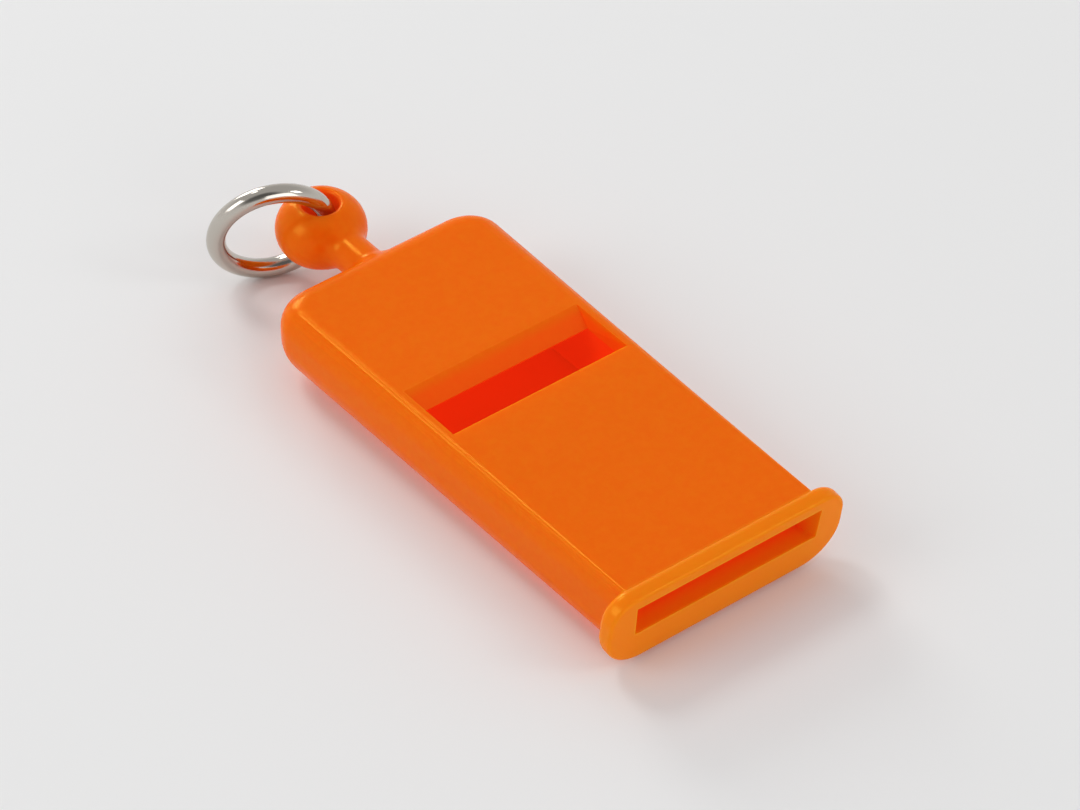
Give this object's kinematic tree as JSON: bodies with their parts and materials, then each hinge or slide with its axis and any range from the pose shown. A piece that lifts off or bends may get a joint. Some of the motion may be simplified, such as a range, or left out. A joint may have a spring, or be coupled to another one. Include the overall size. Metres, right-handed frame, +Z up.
{
  "type": "sports whistle",
  "caption": "Flat pealess sports whistle with a slotted top, a lipped mouthpiece, a closed sounding chamber and a swinging wire ring for a lanyard.",
  "frame": {"origin": "centre of the flat underside, midway between the back wall and the mouth's top edge, on the table that the whistle lies on", "axes": "+X along the whistle towards the mouth, +Y across it to the left of one who blows it, +Z up out of the flat top"},
  "size_m": [0.0638, 0.0256, 0.012],
  "materials": {
    "orange_plastic": "satin-gloss moulded plastic, slightly translucent, deep red inside its hollows",
    "plated_wire": "polished nickel plate on round wire"
  },
  "bodies": {
    "whistle": {"whistle_body": "orange_plastic", "windway_block": "orange_plastic", "base_plate": "orange_plastic"},
    "ring": {"jump_ring": "plated_wire"}
  },
  "joints": [
    {"name": "ring_swing", "type": "hinge", "parent": "whistle", "child": "ring", "pos_m": [-0.0333, 0, 0.0054], "axis": [0, 0, 1], "range_deg": [-196, 62]}
  ]
}
